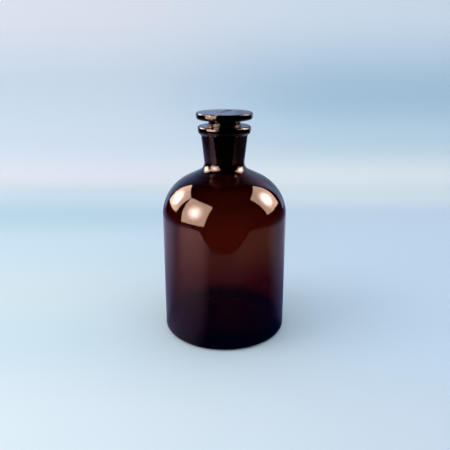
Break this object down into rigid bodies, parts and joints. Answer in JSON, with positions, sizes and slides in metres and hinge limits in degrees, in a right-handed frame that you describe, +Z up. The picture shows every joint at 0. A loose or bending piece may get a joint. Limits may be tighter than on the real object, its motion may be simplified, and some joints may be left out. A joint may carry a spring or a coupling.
{
  "type": "reagent bottle",
  "caption": "Narrow-mouth amber glass reagent bottle with a rounded lip and a flat-topped ground glass stopper that lifts straight out of the neck.",
  "frame": {"origin": "middle of the bottle's base, on the surface that it stands on", "axes": "+Z up along the axis of the bottle and the stopper; both pieces are round, so +X and +Y are free"},
  "size_m": [0.07, 0.07, 0.1258],
  "materials": {
    "bottle_glass": "clear dark amber glass, fire-polished outside, ground matt inside the neck",
    "stopper_glass": "solid dark amber glass, polished disc, ground matt plug"
  },
  "bodies": {
    "bottle": {"bottle": "bottle_glass"},
    "stopper": {"stopper": "stopper_glass"}
  },
  "joints": [
    {"name": "stopper_lift", "type": "slide", "parent": "bottle", "child": "stopper", "axis": [0, 0, 1], "range_m": [0, 0.035]}
  ]
}
